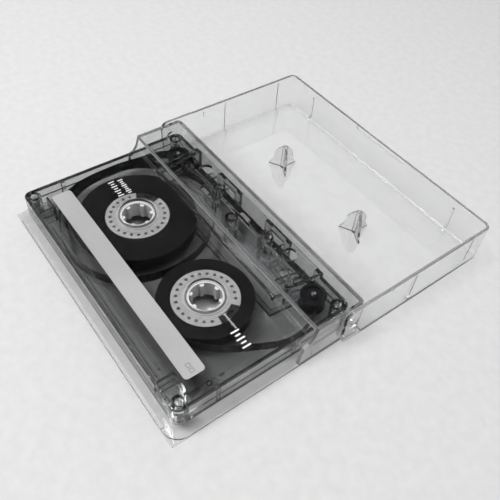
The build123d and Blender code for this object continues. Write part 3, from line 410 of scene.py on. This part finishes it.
def ink_marks(name, marks, z, thick=0.00002):
    """Screen-printed bars on a level face: each mark is (x, y, width, height) in section millimetres, with round ends."""
    verts, faces = [], []
    for x, y, w, h in marks:
        r = min(w, h) / 2 * 0.9
        ring = []
        for sx, sy, a0 in ((1, 1, 0), (-1, 1, 90), (-1, -1, 180), (1, -1, 270)):
            for k in range(5):
                a = radians(a0 + 22.5 * k)
                ring.append((x + sx * (w / 2 - r) + r * cos(a), y + sy * (h / 2 - r) + r * sin(a)))
        n, base = len(ring), len(verts)
        verts += [(u / 1000, Y0 + v / 1000, z) for u, v in ring] + [(u / 1000, Y0 + v / 1000, z + thick) for u, v in ring]
        faces.append(tuple(base + n + k for k in range(n)))
        faces.append(tuple(base + k for k in reversed(range(n))))
        faces += [(base + k, base + (k + 1) % n, base + n + (k + 1) % n, base + n + k) for k in range(n)]
    return mesh_object(name, verts, faces)


FACE_TOP = 0.01155
white_ink = solid("white_ink", (0.72, 0.72, 0.72), (0.9, 0.9, 0.9), rough=(0.35, 0.5), scale=4000, bump=0.05)
supply_marks = [(-38.9 + 1.28 * k, -38.0, 0.42, 2.3 if k % 2 == 0 else 1.5) for k in range(7)]
supply_marks += [(-38.3 + 1.05 * k, -34.7, 0.42, 2.0 if k % 3 == 0 else 1.3) for k in range(8)]
takeup_marks = [(30.9 + 0.72 * k, -36.9, 0.26, 1.0 if k % 3 == 0 else 0.6) for k in range(9)]
takeup_marks += [(37.6 + 1.5 * k, -37.9, 0.55, 3.0 if k % 2 == 0 else 1.9) for k in range(5)]
for name, marks in (("scale_marks_supply", supply_marks), ("scale_marks_takeup", takeup_marks)):
    o = ink_marks(name, marks, FACE_TOP)
    o.data.materials.append(white_ink)
    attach(o, "lid")


def felt_block():
    """Pressed felt: a crowned block with soft edges and a fibrous skin."""
    low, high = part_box("pressure_pad")
    mid, half = (low + high) / 2, (high - low) / 2
    bm = bmesh.new()
    bmesh.ops.create_cube(bm, size=2.0)
    bmesh.ops.subdivide_edges(bm, edges=bm.edges[:], cuts=15, use_grid_fill=True)
    for v in bm.verts:
        u = v.co.copy()
        # superellipsoid edges
        k = (abs(u.x) ** 9 + abs(u.y) ** 9 + abs(u.z) ** 9) ** (1 / 9)
        u = u / k
        crown = 1 - 0.10 * (u.x * u.x + u.z * u.z) / 2
        rough = noise.noise(Vector((u.x * 9, u.y * 9, u.z * 9))) * 0.025 + noise.noise(Vector((u.x * 31, u.y * 31, u.z * 31))) * 0.012
        size = 0.972 + rough
        v.co = Vector((
            mid.x + half.x * u.x * size,
            mid.y + half.y * (u.y * (crown if u.y > 0 else 1.0)) * (size if u.y > 0 else 1.0),
            mid.z + half.z * u.z * size,
        ))
    mesh = bpy.data.meshes.new("felt_pad")
    bm.to_mesh(mesh)
    bm.free()
    for f in mesh.polygons:
        f.use_smooth = True
    o = bpy.data.objects.new("felt_pad", mesh)
    bpy.context.scene.collection.objects.link(o)
    return o


pad = felt_block()
pad.data.materials.append(MATS["felt"])
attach(pad, "pad")
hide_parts("pressure_pad")


def leaf():
    """Bowed bronze leaf: flat feet, a smooth bow that carries the pad, waisted between them."""
    low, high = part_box("pad_spring")
    n, m, t = 56, 6, 0.00012
    verts, faces = [], []
    for i in range(n + 1):
        u = -1 + 2 * i / n
        x = u * (high.x - 0.00002)
        a = min(max((0.90 - abs(u)) / 0.58, 0.0), 1.0)
        rise = a * a * (3 - 2 * a)
        y = low.y + 0.00006 + rise * ((high.y - low.y) - t - 0.00008)
        width = (high.z - low.z) / 2 * (0.72 + 0.26 * (1 - abs(u) ** 1.5) + (0.02 if abs(u) > 0.92 else 0.0))
        for side in (0, 1):
            for j in range(m + 1):
                verts.append((x, y + side * t, (low.z + high.z) / 2 + width * (-1 + 2 * j / m)))
    row = 2 * (m + 1)
    for i in range(n):
        for j in range(m):
            a, b = i * row + j, (i + 1) * row + j
            faces.append((a, a + 1, b + 1, b))
            a, b = a + m + 1, b + m + 1
            faces.append((a, b, b + 1, a + 1))
        for j in (0, m):
            a, b = i * row + j, (i + 1) * row + j
            c, d = a + m + 1, b + m + 1
            faces.append((a, b, d, c) if j == 0 else (a, c, d, b))
    for i in (0, n):
        for j in range(m):
            a = i * row + j
            c = a + m + 1
            faces.append((a, c, c + 1, a + 1) if i == 0 else (a, a + 1, c + 1, c))
    o = mesh_object("leaf_spring", verts, faces)
    for f in o.data.polygons:
        f.use_smooth = True
    return o


spring = leaf()
spring.data.materials.append(MATS["spring_bronze"])
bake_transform(spring)
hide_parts("pad_spring")

# ---------------------------------------------------------------- floor and light
mesh = bpy.data.meshes.new("floor")
bm = bmesh.new()
bmesh.ops.create_grid(bm, x_segments=2, y_segments=2, size=3.0)
bm.to_mesh(mesh)
bm.free()
floor = bpy.data.objects.new("floor", mesh)
bpy.context.scene.collection.objects.link(floor)
floor.location.z = -0.0001
t = Tree("floor_paper")
p = t.node(
    "ShaderNodeBsdfPrincipled",
    Base__Color=t.ramp(t.noise(300, 4.0), [(0.3, FLOOR_TONE - 0.02), (0.7, FLOOR_TONE + 0.02)]),
    Roughness=t.range(t.noise(500), 0.3, 0.7, 0.7, 0.85),
)
p.inputs["Specular IOR Level"].default_value = 0.1
floor.data.materials.append(t.finish(p))


def softbox(name, location, target, size, power):
    data = bpy.data.lights.new(name, "AREA")
    data.shape = "RECTANGLE"
    data.size, data.size_y = size
    data.energy = power
    light = bpy.data.objects.new(name, data)
    bpy.context.scene.collection.objects.link(light)
    light.location = location
    light.rotation_euler = (Vector(target) - Vector(location)).to_track_quat("-Z", "Y").to_euler()
    return light


softbox("key", (-0.24, -0.33, 0.80), (0, 0, 0), (0.22, 0.22), 7.0)
overhead = softbox("overhead", (0.1, 0.1, 0.95), (0, 0, 0), (0.6, 0.6), 4.5)
overhead.visible_glossy = False      # no glare on the level faces seen from above

# a studio dome: bright round the horizon, more so beyond the case, and dim above it, so that level faces don't mirror it
world = bpy.data.worlds.new("studio")
bpy.context.scene.world = world
world.use_nodes = True
wt = world.node_tree
direction = wt.nodes.new("ShaderNodeTexCoord")
split = wt.nodes.new("ShaderNodeSeparateXYZ")
wt.links.new(direction.outputs["Generated"], split.inputs[0])
band = wt.nodes.new("ShaderNodeValToRGB")
band.color_ramp.interpolation = "EASE"
stops = [(0.0, 1.0), (0.34, 0.9), (0.48, 0.02), (0.92, 0.02), (0.97, 0.35)]
while len(band.color_ramp.elements) < len(stops):
    band.color_ramp.elements.new(0.5)
for e, (position, level) in zip(band.color_ramp.elements, stops):
    e.position = position
    e.color = (level, level, level, 1)
wt.links.new(split.outputs["Z"], band.inputs["Fac"])
side = wt.nodes.new("ShaderNodeVectorMath")
side.operation = "DOT_PRODUCT"
side.inputs[1].default_value = (0.62, 0.78, 0.0)
wt.links.new(direction.outputs["Generated"], side.inputs[0])
beyond = wt.nodes.new("ShaderNodeMapRange")
beyond.interpolation_type = "SMOOTHSTEP"
for socket, value in zip(list(beyond.inputs)[1:5], (-0.3, 0.4, 0.3, 1.1)):
    socket.default_value = value
wt.links.new(side.outputs["Value"], beyond.inputs[0])
background = wt.nodes["Background"]
dome = wt.nodes.new("ShaderNodeVectorMath")
dome.operation = "SCALE"
wt.links.new(band.outputs["Color"], dome.inputs[0])
wt.links.new(beyond.outputs["Result"], dome.inputs["Scale"])


def sky(operation, a, b, clamp=False):
    n = wt.nodes.new("ShaderNodeMath")
    n.operation = operation
    n.use_clamp = clamp
    for socket, value in zip(n.inputs, (a, b)):
        if isinstance(value, (int, float)):
            socket.default_value = value
        else:
            wt.links.new(value, socket)
    return n.outputs[0]


def past(value, low, high):
    """0 below low, 1 above high (or the other way round), softly."""
    n = wt.nodes.new("ShaderNodeMapRange")
    n.interpolation_type = "SMOOTHSTEP"
    for socket, level in zip(list(n.inputs)[1:5], (min(low, high), max(low, high), float(low > high), float(low <= high))):
        socket.default_value = level
    wt.links.new(value, n.inputs[0])
    return n.outputs["Result"]


def soft_panel(lit, windows, strength, under):
    """Adds a lamp panel to the dome: lit where the mask is, inside the windows, over what the dome already has."""
    for value, low, high in windows:
        lit = sky("MULTIPLY", lit, past(value, low, high))
    n = wt.nodes.new("ShaderNodeVectorMath")
    n.operation = "MAXIMUM"
    wt.links.new(under, n.inputs[0])
    wt.links.new(sky("MULTIPLY", lit, strength), n.inputs[1])
    return n.outputs[0]


rise = sky("MAXIMUM", split.outputs["Z"], 0.05)
east, north = sky("DIVIDE", split.outputs["X"], rise), sky("DIVIDE", split.outputs["Y"], rise)
aloft = (split.outputs["Z"], 0.2, 0.3)
# a broad panel behind the tray, which its floor mirrors
light = soft_panel(past(north, 0.66, 0.78), ((north, 1.7, 1.2), (east, -1.6, -1.2), (east, -0.15, -0.30), aloft), WALL, dome.outputs[0])
wt.links.new(light, background.inputs["Color"])
background.inputs["Strength"].default_value = 1.0

scene = bpy.context.scene
scene.view_settings.view_transform = "Standard"
scene.cycles.max_bounces = 32
scene.cycles.transmission_bounces = 32
scene.cycles.glossy_bounces = 12
scene.cycles.diffuse_bounces = 4
scene.cycles.transparent_max_bounces = 64
